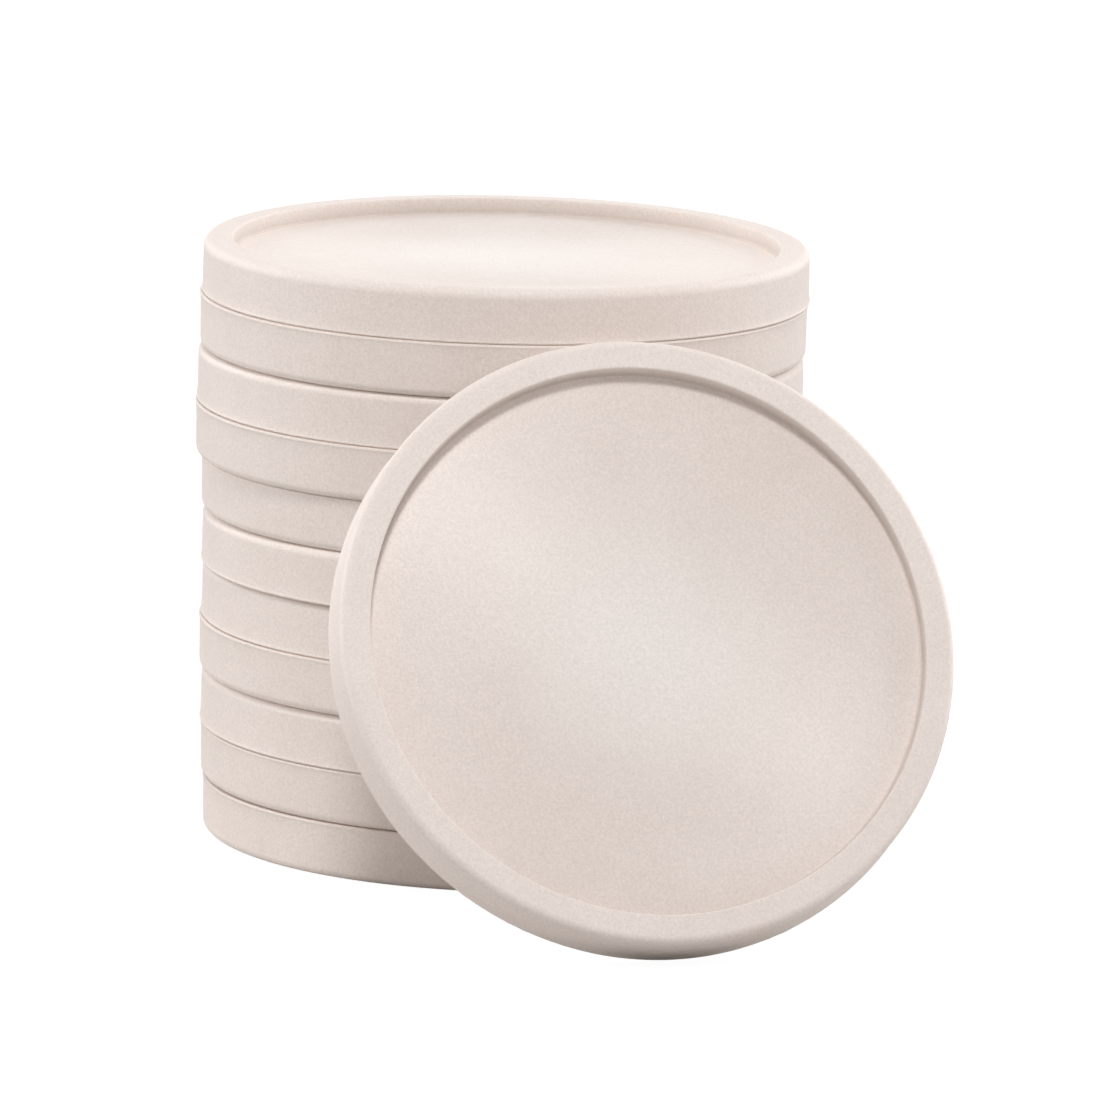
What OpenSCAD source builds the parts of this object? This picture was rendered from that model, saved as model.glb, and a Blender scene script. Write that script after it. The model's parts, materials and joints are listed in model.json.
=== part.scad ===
// A set of round plastic counters: eleven in a stack, and one leaning against its front.
// Every counter is one moulding: a thin web inside a raised rim, recessed in both faces.
// Millimetres, +Z up. The origin is the middle of the stack's underside, where it stands.

/* [Counter] */
// Diameter of one counter
counter_d = 38; // [25:0.5:60]
// Thickness of one counter, over its rims
counter_t = 3.4; // [2.5:0.1:6]
// Width of the raised rim
rim_w = 1.95; // [1.3:0.05:5]
// Depth of the recess in each face
recess_depth = 1; // [0.3:0.05:1.1]
// Rounding of the outer edge on the face side
face_edge_r = 0.45; // [0.2:0.05:0.8]
// Rounding of the outer edge on the back, where the mould parts
back_edge_r = 0.15; // [0.05:0.05:0.4]
// Rounding of the rim's inner edge
rim_edge_r = 0.12; // [0.05:0.01:0.3]
// Fillet at the foot of the recess wall
recess_fillet_r = 0.12; // [0.05:0.01:0.5]

/* [Leaning counter] */
// Tilt of the leaning counter, from lying flat
lean_tilt = 61.7; // [45:0.1:80]
// Direction that its face looks in, from straight ahead towards the right
lean_heading = 13.7; // [-45:0.1:45]
// Sideways distance from the line through the middle of the stack
lean_side = 1.15; // [-6:0.05:6]
// Gap between its top edge and the stack
lean_gap = 0.1; // [0.05:0.05:0.5]

/* [Hidden] */

$fn = 96;

// Warm off-white plastic
counter_colour = [0.9, 0.86, 0.83];

// How far each counter of the stack sits from the axis of the lowest, in X and Y, bottom to top
stack_shift = [
    [0, 0],
    [-0.2, 0.05],
    [-0.25, 0.1],
    [-0.4, -0.05],
    [-0.3, 0.05],
    [-0.35, -0.05],
    [-0.45, 0.1],
    [-0.85, -0.15],
    [-0.8, 0.05],
    [-0.7, -0.1],
    [-0.6, 0.05]
];

// Whether each counter of the stack lies with its face up, bottom to top
face_up = [false, false, true, false, true, true, false, false, true, false, true];

counter_r = counter_d / 2;
recess_r = counter_r - rim_w;

// The recess's roundings are no larger than half its wall
wall_edge_r = min(rim_edge_r, recess_depth / 2);
wall_fillet_r = min(recess_fillet_r, recess_depth / 2);

stack_count = len(stack_shift);
stack_h = stack_count * counter_t;

// Directions straight out of the leaning counter's face and across it, seen from above
lean_out = [sin(lean_heading), -cos(lean_heading)];
lean_across = [cos(lean_heading), sin(lean_heading)];

// How far the stack reaches towards the leaning counter
stack_reach = counter_r + max([for (shift = stack_shift) shift * lean_out]);

// It stands on the rounding of its lower back edge. From there its back reaches the stack with its
// upper edge, or with its face where it stands taller than the stack
edge_run = 2 * (counter_r - back_edge_r) * cos(lean_tilt) + back_edge_r;
face_rise = stack_h - back_edge_r * (1 - cos(lean_tilt));
face_run = back_edge_r * sin(lean_tilt) + face_rise / tan(lean_tilt);
foot_out = stack_reach + lean_gap + min(edge_run, face_run);
foot = foot_out * lean_out + lean_side * lean_across;

// Half of the rim's outline, with the back at Y = 0 and the face at Y = counter_t
module outer_outline() {
    square([counter_r - face_edge_r, counter_t]);
    square([counter_r - back_edge_r, counter_t - face_edge_r]);
    translate([0, back_edge_r]) square([counter_r, counter_t - back_edge_r - face_edge_r]);
    translate([counter_r - face_edge_r, counter_t - face_edge_r]) circle(face_edge_r);
    translate([counter_r - back_edge_r, back_edge_r]) circle(back_edge_r);
}

// What the recess takes out of half the outline, with its floor at Y = 0
module recess_outline() {
    square([recess_r - wall_fillet_r, recess_depth]);
    translate([0, wall_fillet_r]) square([recess_r, recess_depth - wall_fillet_r]);
    translate([recess_r - wall_fillet_r, wall_fillet_r]) circle(wall_fillet_r);
    translate([recess_r, recess_depth - wall_edge_r]) difference() {
        translate([-wall_edge_r, 0]) square([2 * wall_edge_r, wall_edge_r]);
        translate([wall_edge_r, 0]) circle(wall_edge_r);
    }
}

// One counter, lying on its back around the Z axis
module counter() {
    rotate_extrude() difference() {
        outer_outline();
        translate([0, counter_t - recess_depth]) recess_outline();
        translate([0, recess_depth]) mirror([0, 1]) recess_outline();
    }
}

// A counter turned over, in the space that it has face up
module counter_face_down() {
    translate([0, 0, counter_t]) rotate([180, 0, 0]) counter();
}

// The counter at a level of the stack, counted from 0 at the bottom
module stack_counter(level) {
    color(counter_colour) translate([stack_shift[level][0], stack_shift[level][1], level * counter_t]) {
        if (face_up[level]) counter();
        else counter_face_down();
    }
}

// The counter that leans on the stack, standing on the floor
module leaning_counter() {
    color(counter_colour)
        translate([foot[0], foot[1], back_edge_r])
            rotate([0, 0, lean_heading])
                rotate([lean_tilt, 0, 0])
                    translate([0, counter_r - back_edge_r, -back_edge_r])
                        counter();
}

for (level = [0 : stack_count - 1])
    stack_counter(level);
leaning_counter();
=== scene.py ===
"""Round plastic game counters: a stack of eleven, and one that leans against its front."""

from collections import namedtuple
import json
import math

import bpy
from mathutils import Matrix, Vector, noise


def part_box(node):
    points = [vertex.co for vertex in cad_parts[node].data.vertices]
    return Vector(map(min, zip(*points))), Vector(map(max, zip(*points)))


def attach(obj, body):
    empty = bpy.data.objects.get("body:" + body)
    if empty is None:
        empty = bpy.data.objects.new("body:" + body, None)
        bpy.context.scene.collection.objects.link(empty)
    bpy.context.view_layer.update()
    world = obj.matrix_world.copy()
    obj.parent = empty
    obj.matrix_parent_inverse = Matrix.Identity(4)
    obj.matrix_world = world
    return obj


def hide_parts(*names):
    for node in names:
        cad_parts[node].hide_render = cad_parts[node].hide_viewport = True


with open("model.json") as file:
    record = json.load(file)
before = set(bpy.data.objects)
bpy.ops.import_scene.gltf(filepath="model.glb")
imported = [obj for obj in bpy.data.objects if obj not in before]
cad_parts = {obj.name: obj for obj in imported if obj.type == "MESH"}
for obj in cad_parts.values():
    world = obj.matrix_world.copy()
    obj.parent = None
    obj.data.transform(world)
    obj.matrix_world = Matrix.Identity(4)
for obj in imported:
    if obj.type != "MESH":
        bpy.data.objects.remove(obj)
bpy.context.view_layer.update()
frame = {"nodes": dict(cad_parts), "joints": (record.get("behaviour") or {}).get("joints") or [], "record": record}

MM = 0.001

# The counter's outline, in millimetres, as the solids have it
RIM_W = 1.95
RECESS_DEPTH = 1.0
FACE_EDGE_R = 0.45
BACK_EDGE_R = 0.15
RIM_EDGE_R = 0.12
RECESS_FILLET_R = 0.12

# Faults of the moulding, in millimetres: the wall's draft and waves, the lip where the mould parts, the
# burrs on it, and the dents in worn edges
WALL_DRAFT = 0.02
WALL_WAVE = 0.008
LIP_REACH = 0.08
LIP_H = 0.9
BURR_REACH = 0.03
DENT_DEPTH = 0.05

# How the lip falls off up the wall, as a power, and the share of its reach that swings round the rim
LIP_FALL = 1.5
LIP_SWING = 0.25

# Radius of the circle that each fault follows through the noise: the larger, the busier round the rim
WAVE_CIRCLE = 1.6
LIP_CIRCLE = 3.0
BURR_CIRCLE = 34.0
DENT_CIRCLE = 46.0

# Level of the noise from which there is a burr or a dent
BURR_FROM = 0.15
DENT_FROM = 0.42

# Offsets that keep the noise of the faults, and of the counters, apart
LIP_SEED = 1.7
BURR_SEED = 4.1
DENT_SEED = 8.3
COUNTER_SEED = 11.0

# Air at the rims' faces, in millimetres, so that two counters of the stack share no surface
SEAT_GAP = 0.003

# How much rounder the face's edge has worn, in millimetres, most of all on the top counter
EDGE_WEAR = 0.05
MOST_WORN = {"stack_counter_11": 0.2}

# How worn the edges are, and how much painted shade darkens the seam under the back edge, from 0 to 1
INNER_EDGE_WORN = 0.5
FACE_EDGE_WORN = 0.8
LIP_WORN = 0.6
SEAM_PAINTED_SHADE = 0.8

# Angle on the back edge's rounding from which it has painted shade, in degrees: its lowest point is at 270
SEAM_FROM = 280

# Share of the floor's radius at which its turning marks are full
MARKS_FROM = 0.7

# How far the rim's flat faces have the smoothness of the floor's middle, with its paler colour, a painted sheen
RIM_SMOOTH_AND_SHEEN = 0.12

# How finely the counters are turned. Beside an edge, a flat has one more ring at the guard's distance in
# millimetres, which keeps its shading flat
SEGMENTS = 384
FACE_EDGE_STEPS = 9
SMALL_EDGE_STEPS = 5
LIP_STEPS = 6
FLOOR_STEPS = 16
GUARD = 0.04

# How near a solid's largest radius a point is, in millimetres, to count as its wall
WALL_WITHIN = 0.005

# One ring of a counter: its radius and height in millimetres, how much of the lip it takes, how worn it is,
# how far it has the turning marks of the recess's floor, how far the smoothness of the floor's middle with
# its painted sheen, and how much painted shade it has in a corner or seam
Ring = namedtuple("Ring", "r z lip wear turned smooth nook", defaults=(0.0,) * 5)

# What the material reads of a ring
TRAITS = ("wear", "turned", "smooth", "nook")

# The plastic's colours: two drifting tints, painted sheen, worn edges, and painted shade in corners
DEEP_TINT = (0.748, 0.653, 0.598, 1)
PALE_TINT = (0.832, 0.746, 0.699, 1)
PAINTED_SHEEN_COLOUR = (0.850, 0.796, 0.758, 1)
WORN_COLOUR = (0.850, 0.770, 0.715, 1)
PAINTED_SHADE_COLOUR = (0.480, 0.390, 0.330, 1)

# How much of the last three shows at most, and how far the grain darkens and lightens the plastic
PAINTED_SHEEN_SHARE = 0.75
WORN_SHARE = 0.15
PAINTED_SHADE_SHARE = 0.46
GRAIN_TONE = (0.91, 1.09)

# Noise in the plastic, as scale per metre, detail and roughness: the drift of the tints, the fine grain and
# the peel of the skin
CLOUD_NOISE = (200.0, 5.0, 0.6)
GRAIN_NOISE = (6200.0, 2.0, 0.6)
PEEL_NOISE = (1100.0, 2.0, 0.5)

# Ranges of the noise that the grain's tone and the roughness follow
GRAIN_RANGE = (0.25, 0.75)
PEEL_RANGE = (0.3, 0.7)

# Strength of the bumps, and their height in metres
PEEL_BUMP = (0.5, 12e-6)
GRAIN_BUMP = (0.7, 16e-6)

# The plastic's gloss: its roughness, how much smoother the floors are, how brushed the turning marks look,
# and how strongly it reflects
ROUGHNESS = (0.60, 0.68)
FLOOR_SMOOTHER = 0.20
BRUSHED = 0.72
PLASTIC_IOR = 1.55
PLASTIC_SPECULAR = 1.0

# The photograph's camera, in millimetres, degrees and pixels, and its clipping in metres
FRAME_PX = 1099
CAMERA_POS = (-1.57, -620.0, 136.43)
CAMERA_PITCH = 10.825
CAMERA_YAW = -0.378
CAMERA_ROLL = 1.434
CAMERA_FOCAL_PX = 10078
SENSOR_W = 36.0
CLIP_START = 0.01
CLIP_END = 50.0

# The floor: half its width in metres, how far it lies below the counters in millimetres, the colour of the
# light that it throws back, and what the camera sees, a grey that takes shadows under a white glow
FLOOR_HALF = 3.0
FLOOR_DROP = 0.01
FLOOR_THROWN = (0.64, 0.63, 0.62, 1)
FLOOR_GREY = (0.16, 0.16, 0.16, 1)
FLOOR_GLOW = 0.93

# The room's own light, and the range of a reflection's Y direction over which it comes to see the backdrop
WHITE = (1, 1, 1, 1)
ROOM_COLOUR = (1, 0.985, 0.97, 1)
ROOM_STRENGTH = 0.27
BACKDROP_STRENGTH = 1.0
BACKDROP_RANGE = (-0.1, 0.3)

# What the lamps are aimed at, in millimetres
LIGHT_AIM = (4.0, -15.0, 18.0)

# The lamps. Angles are in degrees, with azimuth 0 in front of the counters and 90 on their right, and
# lengths in metres
Lamp = namedtuple("Lamp", "name elevation azimuth distance width height radiance")
LAMPS = (
    Lamp("key", elevation=61, azimuth=-3, distance=0.45, width=0.10, height=0.10, radiance=33.4),
    Lamp("front", elevation=30, azimuth=-5, distance=0.6, width=0.10, height=0.10, radiance=7.0),
    Lamp("left", elevation=17, azimuth=-109, distance=0.8, width=1.1, height=0.5, radiance=2.45),
    Lamp("right", elevation=17, azimuth=114, distance=0.8, width=1.1, height=0.5, radiance=2.75),
    Lamp("back", elevation=45, azimuth=180, distance=0.8, width=0.7, height=0.7, radiance=0.3),
)


def arc(centre_r, centre_z, radius, start, end, steps):
    """Points (r, z) along an arc, from one angle to another in degrees."""
    points = []
    for i in range(steps + 1):
        a = math.radians(start + (end - start) * i / steps)
        points.append((centre_r + radius * math.cos(a), centre_z + radius * math.sin(a)))
    return points


def fade(share):
    """Smooth step from 0 to 1."""
    share = min(1.0, max(0.0, share))
    return share * share * (3 - 2 * share)


def outline(outer_r, thick, edge_wear):
    """The counter's rings, from the floor of its back, round the rim, to the floor of its face."""
    recess_r = outer_r - RIM_W
    fillet_r = recess_r - RECESS_FILLET_R
    edge_r = recess_r + RIM_EDGE_R
    wall_r = outer_r - LIP_REACH - BURR_REACH
    back_edge_r = wall_r - BACK_EDGE_R
    lip_top = BACK_EDGE_R + LIP_H
    face_wall_r = wall_r - WALL_DRAFT
    rounding = FACE_EDGE_R + edge_wear
    face_edge_r = face_wall_r - rounding
    wall_top = thick - rounding
    face_floor = thick - RECESS_DEPTH
    floor_shares = [i / FLOOR_STEPS for i in range(1, FLOOR_STEPS)]
    rings = []

    def add(pairs, **traits):
        rings.extend(Ring(r, z, **traits) for r, z in pairs)

    # Towards a floor's middle its turning marks give way to smoothness and a paler colour, a painted sheen
    def add_floor(shares, z):
        for share in shares:
            turned = fade(share / MARKS_FROM)
            add([(fillet_r * share, z)], turned=turned, smooth=1 - turned)

    # The back: floor, fillet with painted shade, recess wall, rim with a little painted sheen
    add_floor(floor_shares, RECESS_DEPTH)
    add([(fillet_r - GUARD, RECESS_DEPTH)], turned=1.0)
    add(arc(fillet_r, RECESS_DEPTH - RECESS_FILLET_R, RECESS_FILLET_R, 90, 0, SMALL_EDGE_STEPS), nook=1.0)
    add(arc(edge_r, RIM_EDGE_R, RIM_EDGE_R, 180, 270, SMALL_EDGE_STEPS), wear=INNER_EDGE_WORN)
    add([(edge_r + GUARD, 0), (back_edge_r - GUARD, 0)], smooth=RIM_SMOOTH_AND_SHEEN)

    # The outside: back edge, lip that fades up the wall, drafted wall, rounded face edge
    add([(back_edge_r, 0)], lip=1.0)
    # The back edge's rounding: painted shade in the seam under it, darkest at its foot
    for r, z in arc(back_edge_r, BACK_EDGE_R, BACK_EDGE_R, SEAM_FROM, 360, SMALL_EDGE_STEPS):
        add([(r, z)], lip=1.0, wear=z / BACK_EDGE_R, nook=SEAM_PAINTED_SHADE * (1 - z / BACK_EDGE_R))
    for i in range(1, LIP_STEPS + 1):
        share = i / LIP_STEPS
        left = 1 - share
        add([(wall_r, BACK_EDGE_R + LIP_H * share ** 2)], lip=left ** LIP_FALL, wear=LIP_WORN * left ** 2)
    add([(face_wall_r + WALL_DRAFT / 2, (lip_top + wall_top) / 2), (face_wall_r, wall_top - GUARD)])
    add(arc(face_edge_r, wall_top, rounding, 0, 90, FACE_EDGE_STEPS), wear=FACE_EDGE_WORN)

    # The face: rim with a little painted sheen, recess wall, fillet with painted shade, floor
    add([(face_edge_r - GUARD, thick), (edge_r + GUARD, thick)], smooth=RIM_SMOOTH_AND_SHEEN)
    add(arc(edge_r, thick - RIM_EDGE_R, RIM_EDGE_R, 90, 180, SMALL_EDGE_STEPS), wear=INNER_EDGE_WORN)
    add(arc(fillet_r, face_floor + RECESS_FILLET_R, RECESS_FILLET_R, 360, 270, SMALL_EDGE_STEPS), nook=1.0)
    add([(fillet_r - GUARD, face_floor)], turned=1.0)
    add_floor(reversed(floor_shares), face_floor)
    return rings


def ring_noise(angle, circle, seed):
    """Smooth noise from -1 to 1 that closes on itself round the rim."""
    return noise.noise(Vector((math.cos(angle) * circle, math.sin(angle) * circle, seed)))


def faults(angle, seed):
    """How far the lip stands out at an angle, how deep a dent is there, and how far the wall waves out."""
    swell = 1 - LIP_SWING + LIP_SWING * ring_noise(angle, LIP_CIRCLE, seed + LIP_SEED)
    burr = max(0.0, ring_noise(angle, BURR_CIRCLE, seed + BURR_SEED) - BURR_FROM)
    dent = max(0.0, ring_noise(angle, DENT_CIRCLE, seed + DENT_SEED) - DENT_FROM)
    wave = ring_noise(angle, WAVE_CIRCLE, seed)
    return LIP_REACH * swell + BURR_REACH * burr, DENT_DEPTH * dent, WALL_WAVE * wave


def moulded(ring, angle, fault, outer_r, thick):
    """Where a ring passes an angle, with the faults of the moulding there, in millimetres."""
    lip, dent, wave = fault
    grown = ring.r + (ring.lip * lip - ring.wear * dent)
    if ring.r > outer_r - RIM_W / 2:
        grown += wave
    grown = min(outer_r, grown)
    level = min(thick - SEAT_GAP, max(SEAT_GAP, ring.z))
    return Vector((grown * math.cos(angle), grown * math.sin(angle), level))


def counter_faces(ring_count):
    """Faces between neighbouring rings, and fans to the middle points, which come first and last."""
    last_ring = 1 + (ring_count - 1) * SEGMENTS
    last_point = last_ring + SEGMENTS
    faces = []
    for i in range(SEGMENTS):
        j = (i + 1) % SEGMENTS
        faces.append((0, 1 + j, 1 + i))
        for k in range(ring_count - 1):
            low = 1 + k * SEGMENTS
            high = low + SEGMENTS
            faces.append((low + i, low + j, high + j, high + i))
        faces.append((last_point, last_ring + i, last_ring + j))
    return faces


def counter_mesh(name, outer_r, thick, edge_wear, place, seed):
    """One counter in its place. Before that it lies on its back, around the Z axis.

    Its points carry the traits of their rings, and the spokes that the turning marks lie across."""
    rings = outline(outer_r, thick, edge_wear)
    angles = [2 * math.pi * i / SEGMENTS for i in range(SEGMENTS)]
    fault_at = {angle: faults(angle, seed) for angle in angles}
    points = [(Ring(0, RECESS_DEPTH, smooth=1.0), angles[0])]
    points.extend((ring, angle) for ring in rings for angle in angles)
    points.append((Ring(0, thick - RECESS_DEPTH, smooth=1.0), angles[0]))

    spots = [moulded(ring, angle, fault_at[angle], outer_r, thick) for ring, angle in points]
    mesh = bpy.data.meshes.new(name)
    mesh.from_pydata([place @ (spot * MM) for spot in spots], [], counter_faces(len(rings)))
    mesh.polygons.foreach_set("use_smooth", [True] * len(mesh.polygons))
    for trait in TRAITS:
        values = [getattr(ring, trait) for ring, angle in points]
        mesh.attributes.new(trait, "FLOAT", "POINT").data.foreach_set("value", values)
    turn = place.to_3x3()
    spokes = [Vector((ring.r * math.cos(angle), ring.r * math.sin(angle), 0)) for ring, angle in points]
    flat = [part for spoke in spokes for part in turn @ spoke]
    mesh.attributes.new("spoke", "FLOAT_VECTOR", "POINT").data.foreach_set("vector", flat)
    mesh.update()
    return mesh


def lies_face_up(node, low, high):
    """Whether a counter of the stack has its wide rounding on top: its wall then sits low."""
    middle = (low + high) / 2
    reach = (high.x - low.x) / 2
    wall = [
        v.co.z for v in frame["nodes"][node].data.vertices
        if math.hypot(v.co.x - middle.x, v.co.y - middle.y) > reach - WALL_WITHIN * MM
    ]
    return (min(wall) + max(wall)) / 2 < middle.z


def stack_place(node):
    """Where a counter of the stack lies, from its solid."""
    low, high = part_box(node)
    middle = (low + high) / 2
    if lies_face_up(node, low, high):
        return Matrix.Translation((middle.x, middle.y, low.z))
    return Matrix.Translation((middle.x, middle.y, high.z)) @ Matrix.Rotation(math.pi, 4, "X")


def lean_place(outer_r):
    """Where the leaning counter stands, from its hinge: upright at the hinge's upper limit."""
    hinge = next(j for j in frame["joints"] if j["child"] == "leaning_counter")
    heading = math.atan2(hinge["axis"][1], hinge["axis"][0])
    tilt = math.radians(90 - hinge["range_deg"][1])
    turn = Matrix.Rotation(heading, 4, "Z") @ Matrix.Rotation(tilt, 4, "X")
    foot = Matrix.Translation((0, (outer_r - BACK_EDGE_R) * MM, -BACK_EDGE_R * MM))
    return Matrix.Translation(hinge["pos_m"]) @ turn @ foot


class Graph:
    """Short ways to add and join the nodes of one material or world."""

    def __init__(self, tree):
        self.tree = tree
        self.tree.nodes.clear()

    def add(self, kind, settings=None, **inputs):
        """A new node, with its settings and what goes into its sockets."""
        node = self.tree.nodes.new(kind)
        for key, value in (settings or {}).items():
            setattr(node, key, value)
        for key, value in inputs.items():
            self.feed(node, key.replace("_", " "), value)
        return node

    def feed(self, node, socket, value):
        """Puts a value, or what comes out of another node, into a socket."""
        target = node.inputs[socket]
        if isinstance(value, bpy.types.NodeSocket):
            self.tree.links.new(value, target)
        else:
            target.default_value = value

    def trait(self, name):
        """What the mesh's points carry under a name."""
        return self.add("ShaderNodeAttribute", {"attribute_name": name}).outputs["Fac"]

    def noise_at(self, at, look):
        """Noise at a place. Its look is a scale, a detail and a roughness."""
        scale, detail, rough = look
        node = self.add("ShaderNodeTexNoise", Vector=at, Scale=scale, Detail=detail, Roughness=rough)
        return node.outputs["Fac"]

    def work_out(self, operation, *values):
        """The result of a calculation."""
        node = self.add("ShaderNodeMath", {"operation": operation})
        for socket, value in enumerate(values):
            self.feed(node, socket, value)
        return node.outputs[0]

    def carry_over(self, value, source, target):
        """A value of one range, carried over to another. The ranges' limits are sockets 1 to 4."""
        node = self.add("ShaderNodeMapRange", Value=value)
        for socket, limit in enumerate((*source, *target), start=1):
            self.feed(node, socket, limit)
        return node.outputs["Result"]

    def mix(self, share, first, second, blend="MIX"):
        """Two colours mixed. They are sockets 6 and 7 of the node, and its output 2 is the outcome."""
        node = self.add("ShaderNodeMix", {"data_type": "RGBA", "blend_type": blend})
        for socket, value in ((0, share), (6, first), (7, second)):
            self.feed(node, socket, value)
        return node.outputs[2]

    def join(self, kind, first, second, **inputs):
        """Two shaders added or mixed. They are the last two sockets of the node."""
        node = self.add(kind, **inputs)
        self.feed(node, -2, first)
        self.feed(node, -1, second)
        return node.outputs["Shader"]

    def bump(self, height, look, **inputs):
        """The normal of a bumpy surface. Its look is the bumps' strength and height."""
        strength, distance = look
        node = self.add("ShaderNodeBump", Strength=strength, Distance=distance, Height=height, **inputs)
        return node.outputs["Normal"]


def plastic_colour(g, cloud, grain):
    """Drifting tints, painted sheen on floors and rims, grain, worn edges, painted shade in corners and seams."""
    tint = g.mix(cloud, DEEP_TINT, PALE_TINT)
    # Painted sheen: the middles of the floors and the rims' flat faces turn paler
    painted_sheen_tint = g.mix(g.work_out("MULTIPLY", g.trait("smooth"), PAINTED_SHEEN_SHARE), tint, PAINTED_SHEEN_COLOUR)
    grained = g.mix(1.0, painted_sheen_tint, g.carry_over(grain, GRAIN_RANGE, GRAIN_TONE), blend="MULTIPLY")
    worn = g.mix(g.work_out("MULTIPLY", g.trait("wear"), WORN_SHARE), grained, WORN_COLOUR)
    # Painted shade: the recesses' corners and the seam under the back edge turn darker
    return g.mix(g.work_out("MULTIPLY", g.trait("nook"), PAINTED_SHADE_SHARE), worn, PAINTED_SHADE_COLOUR)


def plastic():
    """Warm off-white moulded plastic with a fine grain and turned floors."""
    material = bpy.data.materials.new("moulded_plastic")
    material.use_nodes = True
    g = Graph(material.node_tree)
    at = g.add("ShaderNodeTexCoord").outputs["Object"]
    cloud = g.noise_at(at, CLOUD_NOISE)
    grain = g.noise_at(at, GRAIN_NOISE)
    peel = g.noise_at(at, PEEL_NOISE)

    turned = g.trait("turned")
    on_floor = g.work_out("ADD", turned, g.trait("smooth"))
    rough = g.carry_over(peel, PEEL_RANGE, ROUGHNESS)
    spoke = g.add("ShaderNodeAttribute", {"attribute_name": "spoke"}).outputs["Vector"]
    to_world = {"vector_type": "VECTOR", "convert_from": "OBJECT", "convert_to": "WORLD"}
    along = g.add("ShaderNodeVectorTransform", to_world, Vector=spoke)

    skin = g.add("ShaderNodeBsdfPrincipled", IOR=PLASTIC_IOR, Specular_IOR_Level=PLASTIC_SPECULAR)
    g.feed(skin, "Base Color", plastic_colour(g, cloud, grain))
    g.feed(skin, "Roughness", g.work_out("MULTIPLY_ADD", on_floor, -FLOOR_SMOOTHER, rough))
    g.feed(skin, "Anisotropic", g.work_out("MULTIPLY", turned, BRUSHED))
    g.feed(skin, "Tangent", along.outputs["Vector"])
    g.feed(skin, "Normal", g.bump(grain, GRAIN_BUMP, Normal=g.bump(peel, PEEL_BUMP)))
    g.add("ShaderNodeOutputMaterial", Surface=skin.outputs["BSDF"])
    return material


def make_counters():
    """One visual counter for each solid, riding on that solid's body."""
    low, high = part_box("stack_counter_01")
    outer_r = (high.x - low.x) / 2 / MM
    thick = (high.z - low.z) / MM
    skin = plastic()
    bodies = frame["record"]["behaviour"]["bodies"]
    body_of = {node: body for body, nodes in bodies.items() for node in nodes}
    for number, node in enumerate(sorted(frame["nodes"])):
        place = lean_place(outer_r) if node == "leaning_counter" else stack_place(node)
        edge_wear = MOST_WORN.get(node, EDGE_WEAR)
        mesh = counter_mesh(node + "_moulding", outer_r, thick, edge_wear, place, COUNTER_SEED * number)
        mesh.materials.append(skin)
        piece = bpy.data.objects.new(node + "_moulding", mesh)
        bpy.context.scene.collection.objects.link(piece)
        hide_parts(node)
        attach(piece, body_of[node])


def make_camera():
    """The photograph's viewpoint."""
    pitch, yaw, roll = (math.radians(a) for a in (CAMERA_PITCH, CAMERA_YAW, CAMERA_ROLL))
    ahead = Vector((-math.sin(yaw) * math.cos(pitch), math.cos(yaw) * math.cos(pitch), -math.sin(pitch)))
    level = ahead.cross(Vector((0, 0, 1))).normalized()
    above = level.cross(ahead)
    right = level * math.cos(roll) + above * math.sin(roll)
    up = above * math.cos(roll) - level * math.sin(roll)
    data = bpy.data.cameras.new("camera")
    data.sensor_fit = "HORIZONTAL"
    data.sensor_width = SENSOR_W
    data.lens = CAMERA_FOCAL_PX * SENSOR_W / FRAME_PX
    data.clip_start = CLIP_START
    data.clip_end = CLIP_END
    camera = bpy.data.objects.new("camera", data)
    turn = Matrix((right, up, -ahead)).transposed().to_4x4()
    camera.matrix_world = Matrix.Translation(Vector(CAMERA_POS) * MM) @ turn
    bpy.context.scene.collection.objects.link(camera)
    bpy.context.scene.camera = camera


def floor_paper():
    """White paper with a faint shadow on it, which throws back less light than it shows."""
    material = bpy.data.materials.new("floor_paper")
    material.use_nodes = True
    g = Graph(material.node_tree)
    seen = g.add("ShaderNodeLightPath").outputs["Is Camera Ray"]
    thrown = g.add("ShaderNodeBsdfDiffuse", Color=FLOOR_THROWN).outputs["BSDF"]
    grey = g.add("ShaderNodeBsdfDiffuse", Color=FLOOR_GREY).outputs["BSDF"]
    glow = g.add("ShaderNodeEmission", Color=WHITE, Strength=FLOOR_GLOW).outputs["Emission"]
    shown = g.join("ShaderNodeAddShader", grey, glow)
    g.add("ShaderNodeOutputMaterial", Surface=g.join("ShaderNodeMixShader", thrown, shown, Fac=seen))
    return material


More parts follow.
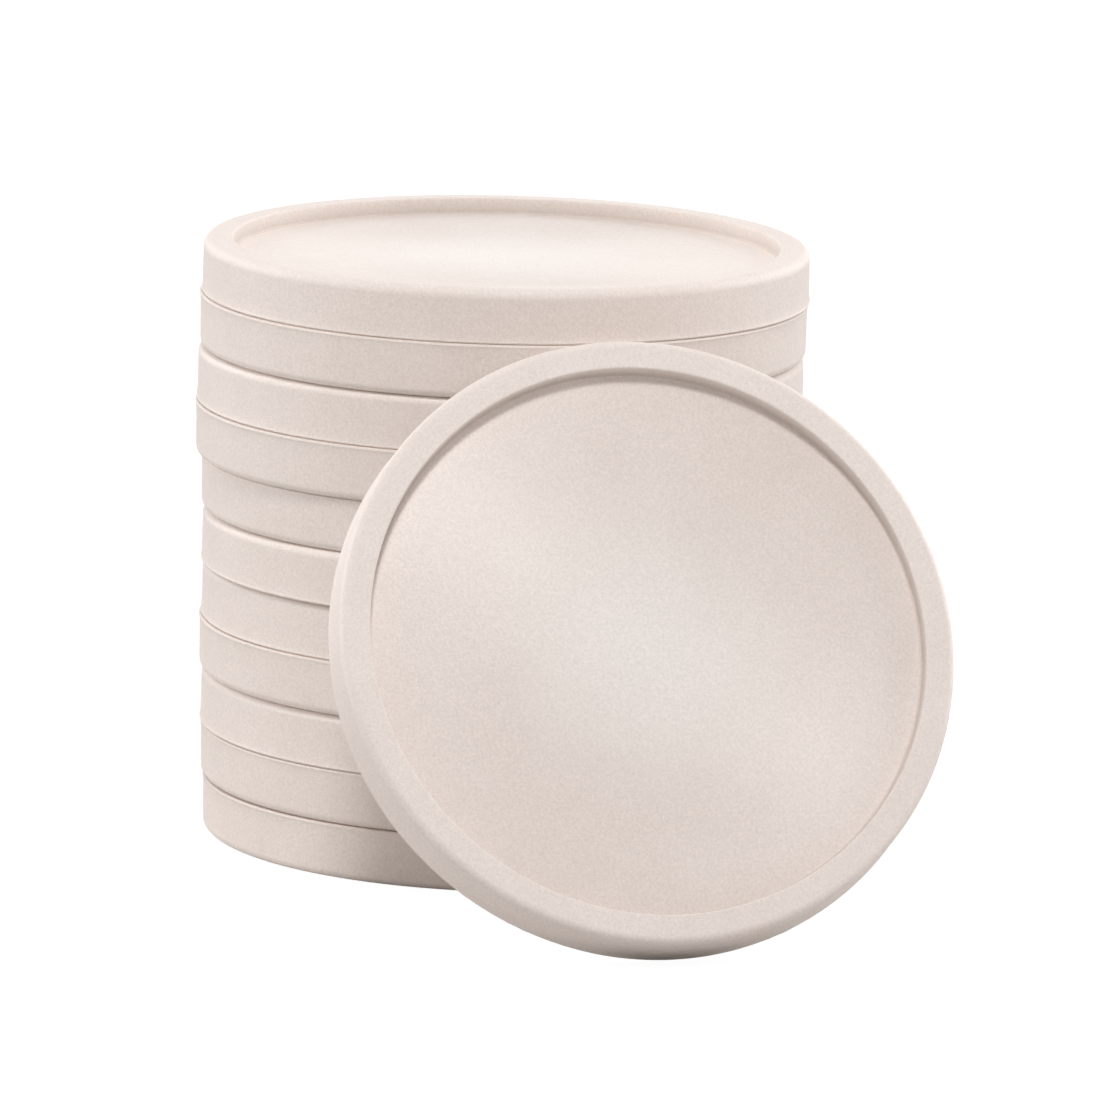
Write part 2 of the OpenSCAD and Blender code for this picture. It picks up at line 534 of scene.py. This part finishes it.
def make_floor():
    """A wide sheet of paper under the counters."""
    corners = [(x * FLOOR_HALF, y * FLOOR_HALF, 0) for x, y in ((-1, -1), (1, -1), (1, 1), (-1, 1))]
    mesh = bpy.data.meshes.new("floor")
    mesh.from_pydata(corners, [], [(0, 1, 2, 3)])
    mesh.materials.append(floor_paper())
    floor = bpy.data.objects.new("floor", mesh)
    floor.location.z = -FLOOR_DROP * MM
    bpy.context.scene.collection.objects.link(floor)


def make_world():
    """A dim room whose backdrop is white to the camera, and to reflections that look towards the back."""
    world = bpy.data.worlds.new("room")
    world.use_nodes = True
    bpy.context.scene.world = world
    g = Graph(world.node_tree)
    path = g.add("ShaderNodeLightPath")
    heading = g.add("ShaderNodeSeparateXYZ", Vector=g.add("ShaderNodeTexCoord").outputs["Generated"])
    backwards = g.carry_over(heading.outputs["Y"], BACKDROP_RANGE, (0.0, 1.0))
    mirrored = g.work_out("MULTIPLY", path.outputs["Is Glossy Ray"], backwards)
    seen = g.work_out("MAXIMUM", path.outputs["Is Camera Ray"], mirrored)
    room = g.add("ShaderNodeBackground", Color=ROOM_COLOUR, Strength=ROOM_STRENGTH)
    backdrop = g.add("ShaderNodeBackground", Color=WHITE, Strength=BACKDROP_STRENGTH)
    shaders = (room.outputs["Background"], backdrop.outputs["Background"])
    g.add("ShaderNodeOutputWorld", Surface=g.join("ShaderNodeMixShader", *shaders, Fac=seen))


def softbox(lamp):
    """A studio light aimed at the counters, whose strength is its surface's radiance."""
    rise = math.radians(lamp.elevation)
    turn = math.radians(lamp.azimuth)
    flat = math.cos(rise)
    away = Vector((flat * math.sin(turn), -flat * math.cos(turn), math.sin(rise)))
    data = bpy.data.lights.new(lamp.name, "AREA")
    data.shape = "RECTANGLE"
    data.size = lamp.width
    data.size_y = lamp.height
    data.energy = lamp.radiance * math.pi * lamp.width * lamp.height
    light = bpy.data.objects.new(lamp.name, data)
    light.location = Vector(LIGHT_AIM) * MM + away * lamp.distance
    light.rotation_euler = (-away).to_track_quat("-Z", "Y").to_euler()
    light.visible_camera = False
    bpy.context.scene.collection.objects.link(light)


def make_light():
    """A compact key from the front and above, a weak front lamp, and wide soft lamps round the rest."""
    for lamp in LAMPS:
        softbox(lamp)


make_camera()
make_counters()
make_floor()
make_world()
make_light()
bpy.context.scene.view_settings.view_transform = "Standard"
